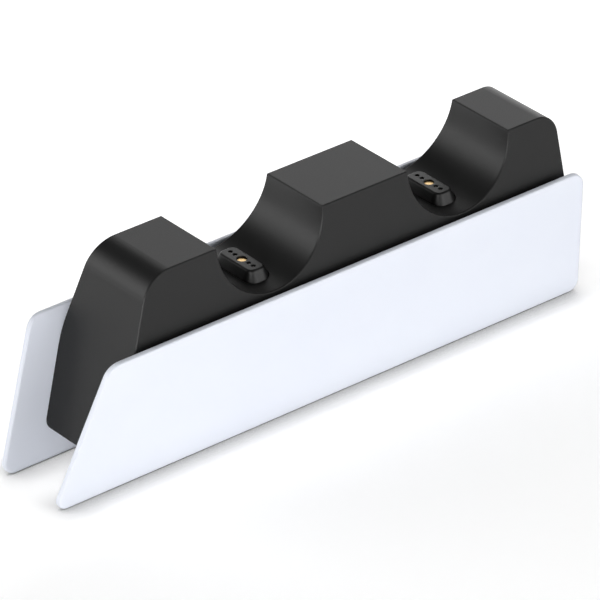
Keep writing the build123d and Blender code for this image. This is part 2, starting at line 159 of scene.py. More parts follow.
def vary(tree, source, low, high):
    """Spreads a noise over a range of values."""
    spread = add_node(
        tree,
        "ShaderNodeMapRange",
        inputs={
            "Value": source,
            "From Min": NOISE_LOW,
            "From Max": NOISE_HIGH,
            "To Min": low,
            "To Max": high,
        },
    )
    return spread.outputs["Result"]


def raise_surface(tree, shader, height, depth, edge_radius=0.0):
    """Bends the shading by a height pattern of a real depth, and rounds the edges a little."""
    bump = add_node(tree, "ShaderNodeBump", inputs={"Height": height, "Distance": depth})
    if edge_radius:
        soft_edge = add_node(
            tree, "ShaderNodeBevel", {"samples": EDGE_SAMPLES}, {"Radius": edge_radius}
        )
        tree.links.new(soft_edge.outputs["Normal"], bump.inputs["Normal"])
    tree.links.new(bump.outputs["Normal"], shader.inputs["Normal"])


print("pattern helpers ready")

# %% [markdown]
# ## Moulded plastic
#
# The housing is injection-moulded ABS, black in the mass, from a tool whose steel was
# spark-eroded. That leaves a fine, even grain which breaks up reflections: the part looks satin,
# nearly black where it faces the camera and clearly greyer where it is seen at a low angle.
# The grain of such a tool is about 0.1 mm. That is finer than a pixel here, so it is drawn at
# 0.5 mm, very shallow. A second, slow noise stands for the faint flow marks of the melt.
#
# No moulded edge is sharp. The solids have their real chamfers, and a Bevel node rounds the shading
# across them, so that an edge catches a thin line of light.
#
# The panels are white ABS from a smoother tool: a satin that spreads each softbox into a broad, even
# light. The contact heads are nylon with glass fibres, a deep black with a soft sheen. The feet are
# silicone, which hardly shines at all. Their grain is drawn coarser too, for the same reason.

# %% Plastics
DRIFT_SIZE = 30 * MM
GRAIN_DETAIL = 3.0
ROUGHNESS_SPREAD = 0.04


def moulded_plastic(name, tone, tone_far, roughness, ior, grain, depth, edge_radius=0.0):
    """Coloured plastic with an even grain, and a second tone that drifts in slowly."""
    material, tree, shader = new_finish(name)
    drift = piece_noise(tree, DRIFT_SIZE)
    tones = {COLOUR_A: colour(tone), COLOUR_B: colour(tone_far)}
    mix = add_node(
        tree,
        "ShaderNodeMix",
        {"data_type": "RGBA"},
        {"Factor": vary(tree, drift.outputs["Fac"], 0, 1), **tones},
    )
    tree.links.new(mix.outputs[COLOUR_RESULT], shader.inputs["Base Color"])
    fine = piece_noise(tree, grain, detail=GRAIN_DETAIL)
    tree.links.new(
        vary(tree, fine.outputs["Fac"], roughness - ROUGHNESS_SPREAD, roughness + ROUGHNESS_SPREAD),
        shader.inputs["Roughness"],
    )
    raise_surface(tree, shader, fine.outputs["Fac"], depth, edge_radius)
    shader.inputs["IOR"].default_value = ior
    return material


spark_textured_abs = moulded_plastic(
    "spark_textured_black_abs",
    "#161616",
    "#191919",
    roughness=0.4,
    ior=1.355,
    grain=0.5 * MM,
    depth=0.006 * MM,
    edge_radius=0.5 * MM,
)
satin_white_abs = moulded_plastic(
    "satin_white_abs",
    "#EDF1FB",
    "#EFF3FC",
    roughness=0.42,
    ior=1.48,
    grain=0.6 * MM,
    depth=0.004 * MM,
    edge_radius=1.1 * MM,
)
glass_filled_nylon = moulded_plastic(
    "glass_filled_black_nylon",
    "#111111",
    "#151515",
    roughness=0.42,
    ior=1.42,
    grain=0.4 * MM,
    depth=0.006 * MM,
    edge_radius=0.4 * MM,
)
moulded_silicone = moulded_plastic(
    "moulded_grey_silicone",
    "#3A3B3D",
    "#404143",
    roughness=0.7,
    ior=1.43,
    grain=0.5 * MM,
    depth=0.008 * MM,
)
print("plastics:", spark_textured_abs.name, satin_white_abs.name, glass_filled_nylon.name)

# %% [markdown]
# ## Plated and bare metal
#
# The centre contact and the sprung pins are turned brass. Gold plating keeps the disc free of
# oxide and gives it its warm tone; nickel on the pins is greyer and a little duller. Parts this
# small are plated together in a turning barrel, where they rub on each other, and that leaves a
# fine, slightly uneven satin. A metal's colour lives in its reflection, so Metallic is 1 and the
# base colour is the colour of that reflection.
#
# The marks on most other metals run one way: spring wire is pulled through a die, the socket's shell
# is folded from rolled strip, and a capacitor's can is pressed out of a slug. The screws are
# blackened, so they look dark and dull. All these marks are finer than a pixel here, and are drawn
# at 0.1 to 0.3 mm.

# %% Metals
ROUGHNESS_SWING = 0.2


def worked_metal(name, tone, roughness, mark, depth, stretch=(1, 1, 1)):
    """A metal with working marks. A stretch under 1 draws them out, and one over 1 squeezes them."""
    material, tree, shader = new_finish(name)
    marks = piece_noise(tree, mark, stretch=stretch)
    bright = (1 - ROUGHNESS_SWING) * roughness
    dull = (1 + ROUGHNESS_SWING) * roughness
    tree.links.new(vary(tree, marks.outputs["Fac"], bright, dull), shader.inputs["Roughness"])
    raise_surface(tree, shader, marks.outputs["Fac"], depth)
    shader.inputs["Base Color"].default_value = colour(tone)
    shader.inputs["Metallic"].default_value = 1.0
    return material


gold_plated_brass = worked_metal(
    "gold_plated_brass", "#EFCB92", roughness=0.3, mark=0.2 * MM, depth=0.0008 * MM
)
nickel_plated_brass = worked_metal(
    "nickel_plated_brass", "#B8ADA6", roughness=0.32, mark=0.2 * MM, depth=0.002 * MM
)
drawn_spring_steel = worked_metal(
    "drawn_spring_steel",
    "#A9A9AB",
    roughness=0.28,
    mark=0.1 * MM,
    depth=0.002 * MM,
    stretch=(1, 1, 6),
)
folded_stainless_steel = worked_metal(
    "folded_stainless_steel",
    "#BDBEC1",
    roughness=0.3,
    mark=0.3 * MM,
    depth=0.002 * MM,
    stretch=(0.2, 1, 1),
)
blackened_steel = worked_metal(
    "blackened_screw_steel", "#4A4A4C", roughness=0.38, mark=0.3 * MM, depth=0.004 * MM
)
extruded_aluminium = worked_metal(
    "impact_extruded_aluminium",
    "#C9CACC",
    roughness=0.36,
    mark=0.3 * MM,
    depth=0.004 * MM,
    stretch=(1, 1, 0.1),
)
print("metals:", gold_plated_brass.name, nickel_plated_brass.name, blackened_steel.name)

# %% [markdown]
# ## The circuit board and what stands on it
#
# The laminate is green glass epoxy under a thin, glossy solder mask, through which the copper
# tracks show as slightly raised, slightly lighter bands. Chips are black epoxy with filler, and
# the coils of the inductors sit in sintered ferrite, which is matt and dark grey. Ferrite is a
# ceramic, but its pressed grain can be drawn by the same function as a plastic's.

# %% Board materials
TRACK_GAP = 0.1
TRACK_LENGTH = 6.0
TRACK_HEIGHT = 0.03 * MM
MASK_ROUGHNESS = 0.25
MASK_IOR = 1.5


def solder_mask(name, ground, track, track_pitch):
    """Glossy lacquer over straight tracks, whose gap and length are multiples of their pitch."""
    material, tree, shader = new_finish(name)
    place = add_node(tree, "ShaderNodeTexCoord")
    bricks = add_node(
        tree,
        "ShaderNodeTexBrick",
        inputs={
            "Vector": place.outputs["Object"],
            "Color1": colour(track),
            "Color2": colour(track),
            "Mortar": colour(ground),
            "Scale": 1 / track_pitch,
            "Mortar Size": TRACK_GAP,
            "Brick Width": TRACK_LENGTH,
            "Row Height": 1.0,
        },
    )
    tree.links.new(bricks.outputs["Color"], shader.inputs["Base Color"])
    # The factor is 1 between the tracks, so a negative depth is what raises the tracks.
    raise_surface(tree, shader, bricks.outputs["Fac"], -TRACK_HEIGHT)
    shader.inputs["Roughness"].default_value = MASK_ROUGHNESS
    shader.inputs["IOR"].default_value = MASK_IOR
    return material


green_solder_mask = solder_mask("green_solder_mask_on_glass_epoxy", "#123A22", "#1B5231", 1.2 * MM)
moulded_epoxy = moulded_plastic(
    "filled_black_epoxy",
    "#202122",
    "#26272A",
    roughness=0.55,
    ior=1.55,
    grain=0.3 * MM,
    depth=0.006 * MM,
)
sintered_ferrite = moulded_plastic(
    "sintered_ferrite",
    "#3A3A3C",
    "#444446",
    roughness=0.75,
    ior=1.6,
    grain=0.5 * MM,
    depth=0.02 * MM,
)
print("board materials:", green_solder_mask.name, moulded_epoxy.name, sintered_ferrite.name)

# %% [markdown]
# ## Giving the solids their finishes
#
# The solids keep their meshes. Only the material in each slot changes, and the record of the
# dock already says which slot each part uses, so a table from slot to finish dresses all of them.

# %% Dress the solids
finishes = {
    "black_shell": spark_textured_abs,
    "white_panel": satin_white_abs,
    "head_plastic": glass_filled_nylon,
    "gilt": gold_plated_brass,
    "nickel": nickel_plated_brass,
    "spring_steel": drawn_spring_steel,
    "board": green_solder_mask,
    "chip": moulded_epoxy,
    "ferrite": sintered_ferrite,
    "can": extruded_aluminium,
    "socket_steel": folded_stainless_steel,
    "screw_steel": blackened_steel,
    "rubber": moulded_silicone,
}
for solid in nodes.values():
    for material_slot in solid.material_slots:
        material_slot.material = finishes[material_slot.material.name]
print(len(finishes), "finishes on", len(nodes), "solids")

# %% [markdown]
# ## Growing what repeats
#
# Springs, screws, ribs and contact strips each follow a rule, so Geometry Nodes can grow them. A
# recipe is a node tree whose sizes are named inputs. We hang it on a few seed points, set its
# inputs, and keep the result as a plain mesh, which exports and moves like any other. An input is
# set by its socket's identifier, because the name that we read is only a label.


# %% Recipes and how to run them
def new_recipe(name, sizes):
    """An empty Geometry Nodes tree with seed points and named inputs, and the sockets of those."""
    tree = bpy.data.node_groups.new(name, "GeometryNodeTree")
    tree.interface.new_socket("Seeds", in_out="INPUT", socket_type="NodeSocketGeometry")
    for size in sizes:
        tree.interface.new_socket(size, in_out="INPUT", socket_type="NodeSocketFloat")
    tree.interface.new_socket("Finish", in_out="INPUT", socket_type="NodeSocketMaterial")
    tree.interface.new_socket("Piece", in_out="OUTPUT", socket_type="NodeSocketGeometry")
    return tree, add_node(tree, "NodeGroupInput").outputs


def reckon(tree, operation, *values):
    """The result of one sum on numbers or sockets."""
    made = add_node(tree, "ShaderNodeMath", {"operation": operation}, dict(enumerate(values)))
    return made.outputs[0]


def point(tree, x=0.0, y=0.0, z=0.0):
    """A place or a direction from three numbers or sockets."""
    return add_node(tree, "ShaderNodeCombineXYZ", inputs={"X": x, "Y": y, "Z": z}).outputs["Vector"]


def shifted(tree, geometry, z):
    """The geometry moved along Z."""
    made = add_node(
        tree,
        "GeometryNodeTransform",
        inputs={"Geometry": geometry, "Translation": point(tree, z=z)},
    )
    return made.outputs["Geometry"]


def joined(tree, *parts):
    """Several geometries as one."""
    made = add_node(tree, "GeometryNodeJoinGeometry")
    for part in parts:
        tree.links.new(part, made.inputs["Geometry"])
    return made.outputs["Geometry"]


def copied(tree, seeds, shape, rotation=None):
    """A copy of the shape on each seed point."""
    inputs = {"Points": seeds, "Instance": shape}
    if rotation is not None:
        inputs["Rotation"] = rotation
    return add_node(tree, "GeometryNodeInstanceOnPoints", inputs=inputs).outputs["Instances"]


def end_recipe(tree, sizes, shape, smooth):
    """Ends a recipe with plain geometry in one material."""
    real = add_node(tree, "GeometryNodeRealizeInstances", inputs={"Geometry": shape})
    shaded = add_node(
        tree,
        "GeometryNodeSetShadeSmooth",
        inputs={"Geometry": real.outputs["Geometry"], "Shade Smooth": smooth},
    )
    dressed = add_node(
        tree,
        "GeometryNodeSetMaterial",
        inputs={"Geometry": shaded.outputs["Geometry"], "Material": sizes["Finish"]},
    )
    add_node(tree, "NodeGroupOutput", inputs={"Piece": dressed.outputs["Geometry"]})
    return tree


def grow(name, recipe, seeds, values, slot, replaced=(), headings=None):
    """Runs a recipe on seed points, and keeps the result as a plain mesh that rides on the dock."""
    mesh = bpy.data.meshes.new(name)
    mesh.from_pydata(seeds, [], [])
    if headings:
        heading = mesh.attributes.new("heading", "FLOAT_VECTOR", "POINT")
        for datum, direction in zip(heading.data, headings):
            datum.vector = direction
    piece = bpy.data.objects.new(name, mesh)
    bpy.context.scene.collection.objects.link(piece)
    modifier = piece.modifiers.new("recipe", "NODES")
    modifier.node_group = recipe
    values = {**values, "Finish": finishes[slot]}
    for socket in recipe.interface.items_tree:
        if socket.in_out == "INPUT" and socket.name in values:
            modifier[socket.identifier] = values[socket.name]
    evaluated = piece.evaluated_get(bpy.context.evaluated_depsgraph_get())
    grown = bpy.data.meshes.new_from_object(evaluated)
    piece.modifiers.remove(modifier)
    piece.data = grown
    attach(piece, "dock")
    if replaced:
        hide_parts(*replaced)
    print(name, len(seeds), "seeds,", len(grown.polygons), "faces")
    return piece


def middle_of(node):
    """The middle of a solid's box."""
    low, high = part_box(node)
    return (low + high) / 2


print("recipe helpers ready")

# %% [markdown]
# ## The coil springs
#
# A compression spring is wound from hard drawn wire, and its end turns lie closed against the next
# turn, so that it stands square. A screw modifier could wind it, but its pitch would be even all
# the way. A spiral curve whose height we remap in three stretches gives the closed ends.

# %% Spring recipe
COIL_TURNS = 8
TURN_STEPS = 20
WIRE_SIDES = 8
# What the height has besides the open turns, in wire thicknesses: each closed turn rises by one,
# and half of one lies under the first turn and over the last.
CLOSED_THICKNESSES = 3.0

spring_recipe, size = new_recipe("coil_spring", ("Coil Radius", "Wire Radius", "Height"))
# It is wound to a height of 1 first, so that Z says which share of the turns lies below a point.
wound = add_node(
    spring_recipe,
    "GeometryNodeCurveSpiral",
    inputs={
        "Resolution": TURN_STEPS,
        "Rotations": COIL_TURNS,
        "Start Radius": size["Coil Radius"],
        "End Radius": size["Coil Radius"],
        "Height": 1.0,
    },
)
place = add_node(spring_recipe, "GeometryNodeInputPosition")
axes = add_node(
    spring_recipe, "ShaderNodeSeparateXYZ", inputs={"Vector": place.outputs["Position"]}
)
wire_thickness = reckon(spring_recipe, "MULTIPLY", size["Wire Radius"], 2.0)
closed_rise = reckon(spring_recipe, "MULTIPLY", wire_thickness, CLOSED_THICKNESSES)
open_rise = reckon(spring_recipe, "SUBTRACT", size["Height"], closed_rise)
climb = size["Wire Radius"]
for begin, end, rise in (
    (0.0, 1 / COIL_TURNS, wire_thickness),
    (1 / COIL_TURNS, 1 - 1 / COIL_TURNS, open_rise),
    (1 - 1 / COIL_TURNS, 1.0, wire_thickness),
):
    stretch = add_node(
        spring_recipe,
        "ShaderNodeMapRange",
        inputs={"Value": axes.outputs["Z"], "From Min": begin, "From Max": end, "To Max": rise},
    )
    climb = reckon(spring_recipe, "ADD", climb, stretch.outputs["Result"])
risen = add_node(
    spring_recipe,
    "GeometryNodeSetPosition",
    inputs={
        "Geometry": wound.outputs["Curve"],
        "Position": point(spring_recipe, axes.outputs["X"], axes.outputs["Y"], climb),
    },
)
wire = add_node(
    spring_recipe,
    "GeometryNodeCurvePrimitiveCircle",
    inputs={"Resolution": WIRE_SIDES, "Radius": size["Wire Radius"]},
)
drawn = add_node(
    spring_recipe,
    "GeometryNodeCurveToMesh",
    inputs={
        "Curve": risen.outputs["Geometry"],
        "Profile Curve": wire.outputs["Curve"],
        "Fill Caps": True,
    },
)
springs_on_seeds = copied(spring_recipe, size["Seeds"], drawn.outputs["Mesh"])
end_recipe(spring_recipe, size, springs_on_seeds, smooth=True)
print("spring recipe:", len(spring_recipe.nodes), "nodes")

# %% Coil springs
COIL_RADIUS = 0.7 * MM
WIRE_RADIUS = 0.12 * MM
BARREL_FLOOR_Z = 49.2 * MM

pin_centres = []
for end_name in ("near", "far"):
    for number in range(1, 5):
        solid = f"{end_name}_pin_spring_{number}"
        low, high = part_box(solid)
        centre = middle_of(f"{end_name}_pin_{number}")
        pin_centres.append(centre)
        spring = grow(
            f"{end_name}_coil_spring_{number}",
            spring_recipe,
            [(centre.x, centre.y, low.z)],
            {"Coil Radius": COIL_RADIUS, "Wire Radius": WIRE_RADIUS, "Height": high.z - low.z},
            "spring_steel",
            replaced=[solid],
        )
        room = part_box(f"{end_name}_pin_{number}")[0].z - BARREL_FLOOR_Z
        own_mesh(spring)
print(len(pin_centres), "springs in", round(room / MM, 2), "mm of room")

# %% [markdown]
# ## The screws
#
# Thread-forming screws with pan heads close the bottom and hold the board and the panels. A pan
# head is flat in the middle and rounds off at its rim, and a driver's cross is pressed into it. The
# recess is a difference of two shapes, and the thread a triangle swept along a spiral. Where each
# screw sits is read from its solid, and its recipe is turned to look along that solid's axis.

# %% Screw head
HEAD_SIDES = 32
HEAD_RINGS = 6
DOME_POWER = 5.0
RIM_DROP = 0.45
CROSS_LENGTH = 2.4 * MM
CROSS_WIDTH = 0.5 * MM
CROSS_DEPTH = 0.8 * MM
CROSS_TAPER = 0.5

screw_recipe, size = new_recipe(
    "pan_head_screw", ("Head Radius", "Head Height", "Shank Radius", "Length")
)
blank = add_node(
    screw_recipe,
    "GeometryNodeMeshCylinder",
    {"fill_type": "TRIANGLE_FAN"},
    {
        "Vertices": HEAD_SIDES,
        "Fill Segments": HEAD_RINGS,
        "Radius": size["Head Radius"],
        "Depth": size["Head Height"],
    },
)
lifted = shifted(
    screw_recipe, blank.outputs["Mesh"], reckon(screw_recipe, "MULTIPLY", size["Head Height"], 0.5)
)
place = add_node(screw_recipe, "GeometryNodeInputPosition")
axes = add_node(screw_recipe, "ShaderNodeSeparateXYZ", inputs={"Vector": place.outputs["Position"]})
level_place = point(screw_recipe, axes.outputs["X"], axes.outputs["Y"])
from_axis = add_node(screw_recipe, "ShaderNodeVectorMath", {"operation": "LENGTH"}, {0: level_place})
share = reckon(screw_recipe, "DIVIDE", from_axis.outputs["Value"], size["Head Radius"])
drop = reckon(screw_recipe, "MULTIPLY", reckon(screw_recipe, "POWER", share, DOME_POWER), RIM_DROP)
domed_z = reckon(
    screw_recipe, "MULTIPLY", axes.outputs["Z"], reckon(screw_recipe, "SUBTRACT", 1.0, drop)
)
domed = add_node(
    screw_recipe,
    "GeometryNodeSetPosition",
    inputs={
        "Geometry": lifted,
        "Position": point(screw_recipe, axes.outputs["X"], axes.outputs["Y"], domed_z),
    },
)
narrowing = add_node(
    screw_recipe,
    "ShaderNodeMapRange",
    inputs={
        "Value": axes.outputs["Z"],
        "From Min": -CROSS_DEPTH,
        "From Max": CROSS_DEPTH,
        "To Min": CROSS_TAPER,
        "To Max": 2 - CROSS_TAPER,
    },
)
narrow_x = reckon(screw_recipe, "MULTIPLY", axes.outputs["X"], narrowing.outputs["Result"])
narrow_y = reckon(screw_recipe, "MULTIPLY", axes.outputs["Y"], narrowing.outputs["Result"])
narrow_place = point(screw_recipe, narrow_x, narrow_y, axes.outputs["Z"])
head = domed.outputs["Geometry"]
for wing_x, wing_y in ((CROSS_LENGTH, CROSS_WIDTH), (CROSS_WIDTH, CROSS_LENGTH)):
    wing = add_node(
        screw_recipe, "GeometryNodeMeshCube", inputs={"Size": (wing_x, wing_y, 2 * CROSS_DEPTH)}
    )
    tapered = add_node(
        screw_recipe,
        "GeometryNodeSetPosition",
        inputs={"Geometry": wing.outputs["Mesh"], "Position": narrow_place},
    )
    cutter = shifted(screw_recipe, tapered.outputs["Geometry"], size["Head Height"])
    cut = add_node(
        screw_recipe, "GeometryNodeMeshBoolean", {"operation": "DIFFERENCE", "solver": "EXACT"}
    )
    screw_recipe.links.new(head, cut.inputs["Mesh 1"])
    screw_recipe.links.new(cutter, cut.inputs["Mesh 2"])
    head = cut.outputs["Mesh"]
print("screw head:", len(screw_recipe.nodes), "nodes")

# %% Screw shank
SHANK_SIDES = 20
THREAD_PITCH = 0.8 * MM
THREAD_DEPTH = 0.2 * MM
THREAD_STEPS = 20
THREAD_SIDES = 3

core_radius = reckon(screw_recipe, "SUBTRACT", size["Shank Radius"], THREAD_DEPTH)
core = add_node(
    screw_recipe,
    "GeometryNodeMeshCylinder",
    inputs={"Vertices": SHANK_SIDES, "Radius": core_radius, "Depth": size["Length"]},
)
shank = shifted(
    screw_recipe, core.outputs["Mesh"], reckon(screw_recipe, "MULTIPLY", size["Length"], -0.5)
)
threaded_length = reckon(screw_recipe, "SUBTRACT", size["Length"], THREAD_PITCH)
groove = add_node(
    screw_recipe,
    "GeometryNodeCurveSpiral",
    inputs={
        "Resolution": THREAD_STEPS,
        "Rotations": reckon(screw_recipe, "DIVIDE", threaded_length, THREAD_PITCH),
        "Start Radius": core_radius,
        "End Radius": core_radius,
        "Height": threaded_length,
    },
)
ridge = add_node(
    screw_recipe,
    "GeometryNodeCurvePrimitiveCircle",
    inputs={"Resolution": THREAD_SIDES, "Radius": THREAD_DEPTH},
)
thread = add_node(
    screw_recipe,
    "GeometryNodeCurveToMesh",
    inputs={
        "Curve": groove.outputs["Curve"],
        "Profile Curve": ridge.outputs["Curve"],
        "Fill Caps": True,
    },
)
thread_start = reckon(screw_recipe, "SUBTRACT", 0.5 * THREAD_PITCH, size["Length"])
wound_on = shifted(screw_recipe, thread.outputs["Mesh"], thread_start)
heading = add_node(
    screw_recipe,
    "GeometryNodeInputNamedAttribute",
    {"data_type": "FLOAT_VECTOR"},
    {"Name": "heading"},
)
facing = add_node(
    screw_recipe, "FunctionNodeAlignRotationToVector", {"axis": "Z"}, {"Vector": heading.outputs[0]}
)
whole_screw = joined(screw_recipe, head, shank, wound_on)
turned_screws = copied(screw_recipe, size["Seeds"], whole_screw, facing.outputs["Rotation"])
end_recipe(screw_recipe, size, turned_screws, smooth=False)
print("screw recipe:", len(screw_recipe.nodes), "nodes")

# %% [markdown]
# ## Where each screw goes
#
# One node of the dock can hold several solids, such as the six screws of the cover. Their corners
# are merged in a copy of the mesh, and what hangs together by edges is one solid. That gives each
# screw's place without typing a single coordinate.

# %% Finding the solids in a node
MERGE_DISTANCE = 0.001 * MM


def solids_in(node):
    """The corners of each separate solid in a node, in order of their places."""
    work = bmesh.new()
    work.from_mesh(nodes[node].data)
    bmesh.ops.remove_doubles(work, verts=work.verts, dist=MERGE_DISTANCE)
    work.verts.index_update()
    left = set(work.verts)
    solids = []
    while left:
        reached = {left.pop()}
        edge_of_reach = list(reached)
        while edge_of_reach:
            vertex = edge_of_reach.pop()
            around = {edge.other_vert(vertex) for edge in vertex.link_edges} - reached
            reached |= around
            edge_of_reach.extend(around)
        left -= reached
        # A set has no fixed order, and a mean taken in another order differs in its last digit.
        in_order = sorted(reached, key=lambda vertex: vertex.index)
        solids.append([vertex.co.copy() for vertex in in_order])
    work.free()
    return sorted(solids, key=lambda solid: tuple(round(c, 5) for c in centre_of(solid)))


def centre_of(corners):
    """The middle of the box round some corners."""
    return Vector([(min(c[i] for c in corners) + max(c[i] for c in corners)) / 2 for i in range(3)])


for node in ("cover_screws", "board_screws", "panel_screws"):
    print(node, "has", len(solids_in(node)), "solids")

# %% Screws
SCREW_RADIUS = 1.0 * MM
SCREW_HEAD_HEIGHT = 1.5 * MM
SMALL_HEAD_RADIUS = 2.1 * MM
PANEL_HEAD_RADIUS = 3.6 * MM
COVER_SCREW_LENGTH = 10.0 * MM
BOARD_SCREW_LENGTH = 4.8 * MM
PANEL_SCREW_LENGTH = 2.8 * MM
PANEL_LEAN = math.radians(7.8)


def downwards(centre):
    """The heading of a screw that is driven in from below."""
    return Vector((0, 0, -1))


def out_of_panel(centre):
    """The heading of a panel's screw: its head looks into the dock, square to the leaning panel."""
    return Vector((0, -math.copysign(math.cos(PANEL_LEAN), centre.y), math.sin(PANEL_LEAN)))


def screws(name, node, head_radius, length, heading_of):
    """Screws in place of a node's solids: heading_of says where the head of each one looks."""
    seats = []
    headings = []
    for corners in solids_in(node):
        heading = heading_of(centre_of(corners))
        mean = sum(corners, Vector()) / len(corners)
        head_top = max(corner.dot(heading) for corner in corners)
        seats.append(mean + heading * (head_top - SCREW_HEAD_HEIGHT - mean.dot(heading)))
        headings.append(heading)
    values = {
        "Head Radius": head_radius,
        "Head Height": SCREW_HEAD_HEIGHT,
        "Shank Radius": SCREW_RADIUS,
        "Length": length,
    }
    return grow(name, screw_recipe, seats, values, "screw_steel", [node], headings)


screws("cover_pan_screws", "cover_screws", SMALL_HEAD_RADIUS, COVER_SCREW_LENGTH, downwards)
screws("board_pan_screws", "board_screws", SMALL_HEAD_RADIUS, BOARD_SCREW_LENGTH, downwards)
screws("panel_pan_screws", "panel_screws", PANEL_HEAD_RADIUS, PANEL_SCREW_LENGTH, out_of_panel)

# %% [markdown]
# ## The feet
#
# A strip of silicone is let into the bottom edge of each panel, front and rear, at both ends. Such
# strips are extruded and then pressed with small cross ribs, which grip a table better than a flat
# face. An array modifier would do it too, but here one line of points places all the ribs.

# %% Ribbed feet
RIB_PITCH = 1.5 * MM
RIB_RADIUS = 0.3 * MM
RIB_SIDES = 16

feet = solids_in("foot_strips")
foot_low = Vector([min(c[i] for c in feet[0]) for i in range(3)])
foot_high = Vector([max(c[i] for c in feet[0]) for i in range(3)])
foot_size = foot_high - foot_low
rib_count = int(foot_size.x / RIB_PITCH)

foot_recipe, size = new_recipe("ribbed_foot", ("Length", "Width", "Height", "Rib Radius"))
strip = add_node(
    foot_recipe,
    "GeometryNodeMeshCube",
    inputs={
        "Size": point(
            foot_recipe,
            size["Length"],
            size["Width"],
            reckon(foot_recipe, "SUBTRACT", size["Height"], size["Rib Radius"]),
        )
    },
)
strip_middle = reckon(
    foot_recipe, "MULTIPLY", reckon(foot_recipe, "ADD", size["Height"], size["Rib Radius"]), 0.5
)
line = add_node(
    foot_recipe,
    "GeometryNodeMeshLine",
    inputs={
        "Count": rib_count,
        "Start Location": (RIB_PITCH * (1 - rib_count) / 2, 0, 0),
        "Offset": (RIB_PITCH, 0, 0),
    },
)
rib = add_node(
    foot_recipe,
    "GeometryNodeMeshCylinder",
    inputs={"Vertices": RIB_SIDES, "Radius": size["Rib Radius"], "Depth": size["Width"]},
)
laid = add_node(
    foot_recipe,
    "GeometryNodeTransform",
    inputs={
        "Geometry": rib.outputs["Mesh"],
        "Translation": point(foot_recipe, z=size["Rib Radius"]),
        "Rotation": (math.pi / 2, 0, 0),
    },
)
ribs = copied(foot_recipe, line.outputs["Mesh"], laid.outputs["Geometry"])
foot_shape = joined(foot_recipe, shifted(foot_recipe, strip.outputs["Mesh"], strip_middle), ribs)
end_recipe(foot_recipe, size, copied(foot_recipe, size["Seeds"], foot_shape), smooth=False)

foot_seeds = [(c.x, c.y, foot_low.z) for c in map(centre_of, feet)]
grow(
    "ribbed_feet",
    foot_recipe,
    foot_seeds,
    {
        "Length": foot_size.x,
        "Width": foot_size.y,
        "Height": foot_size.z,
        "Rib Radius": RIB_RADIUS,
    },
    "rubber",
    replaced=["foot_strips"],
)

# %% [markdown]
# ## Contacts of the power socket, and solder
#
# The tongue of such a socket carries twelve gold-plated strips on each face, half a millimetre
# apart. They are flat and only just proud, so small plates on a line of points are enough. Under the
# board, each contact tube ends in a tail with a cone of solder round it.

# %% Socket contacts
STRIP_COUNT = 12
STRIP_PITCH = 0.5 * MM
STRIP_LENGTH = 3.6 * MM
STRIP_WIDTH = 0.26 * MM
STRIP_THICKNESS = 0.06 * MM
STRIP_SETBACK = 0.5 * MM
TONGUE_THICKNESS = 0.7 * MM

strip_recipe, size = new_recipe("contact_strips", ("Pitch", "Length", "Width", "Thickness"))
plate = add_node(
    strip_recipe,
    "GeometryNodeMeshCube",
    inputs={"Size": point(strip_recipe, size["Length"], size["Width"], size["Thickness"])},
)
row_start = reckon(strip_recipe, "MULTIPLY", size["Pitch"], (1 - STRIP_COUNT) / 2)
row = add_node(
    strip_recipe,
    "GeometryNodeMeshLine",
    inputs={
        "Count": STRIP_COUNT,
        "Start Location": point(strip_recipe, y=row_start),
        "Offset": point(strip_recipe, y=size["Pitch"]),
    },
)
plates = copied(strip_recipe, row.outputs["Mesh"], plate.outputs["Mesh"])
end_recipe(strip_recipe, size, copied(strip_recipe, size["Seeds"], plates), smooth=False)
tongue_low, tongue_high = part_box("usb_socket_tongue")
strip_x = tongue_high.x - STRIP_SETBACK - STRIP_LENGTH / 2
tongue_z = (tongue_low.z + tongue_high.z) / 2
grow(
    "socket_contacts",
    strip_recipe,
    [(strip_x, 0, tongue_z + side * TONGUE_THICKNESS / 2) for side in (-1, 1)],
    {
        "Pitch": STRIP_PITCH,
        "Length": STRIP_LENGTH,
        "Width": STRIP_WIDTH,
        "Thickness": STRIP_THICKNESS,
    },
    "gilt",
)

# %% Solder
SOLDER_RADIUS = 0.85 * MM
SOLDER_TAIL_RADIUS = 0.42 * MM
SOLDER_HEIGHT = 0.7 * MM
SOLDER_SIDES = 20
SOLDER_RINGS = 5

solder_recipe, size = new_recipe("solder_joint", ("Foot Radius", "Tail Radius", "Height"))
cone = add_node(
    solder_recipe,
    "GeometryNodeMeshCone",
    inputs={
        "Vertices": SOLDER_SIDES,
        "Side Segments": SOLDER_RINGS,
        "Radius Top": size["Foot Radius"],
        "Radius Bottom": size["Tail Radius"],
        "Depth": size["Height"],
    },
)
below = shifted(
    solder_recipe, cone.outputs["Mesh"], reckon(solder_recipe, "MULTIPLY", size["Height"], -1.0)
)
end_recipe(solder_recipe, size, copied(solder_recipe, size["Seeds"], below), smooth=True)
board_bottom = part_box("main_board")[0].z
grow(
    "solder_joints",
    solder_recipe,
    [(centre.x, centre.y, board_bottom) for centre in pin_centres],
    {"Foot Radius": SOLDER_RADIUS, "Tail Radius": SOLDER_TAIL_RADIUS, "Height": SOLDER_HEIGHT},
    "nickel",
)

# %% [markdown]
# ## The stage
#
# A catalogue photograph of this kind is taken on a white sweep: a sheet of paper that runs back
# flat and then curves up, so that it has no horizon. Ours curves up all the way round, so that it
# lies behind the dock from every side. It is a fan of faces in the middle, and rings outside it.

# %% The sweep
SWEEP_RADIUS = 3.2
SWEEP_BEND = 0.8
SWEEP_WALL = 0.9
BEND_STEPS = 8
AROUND_STEPS = 48

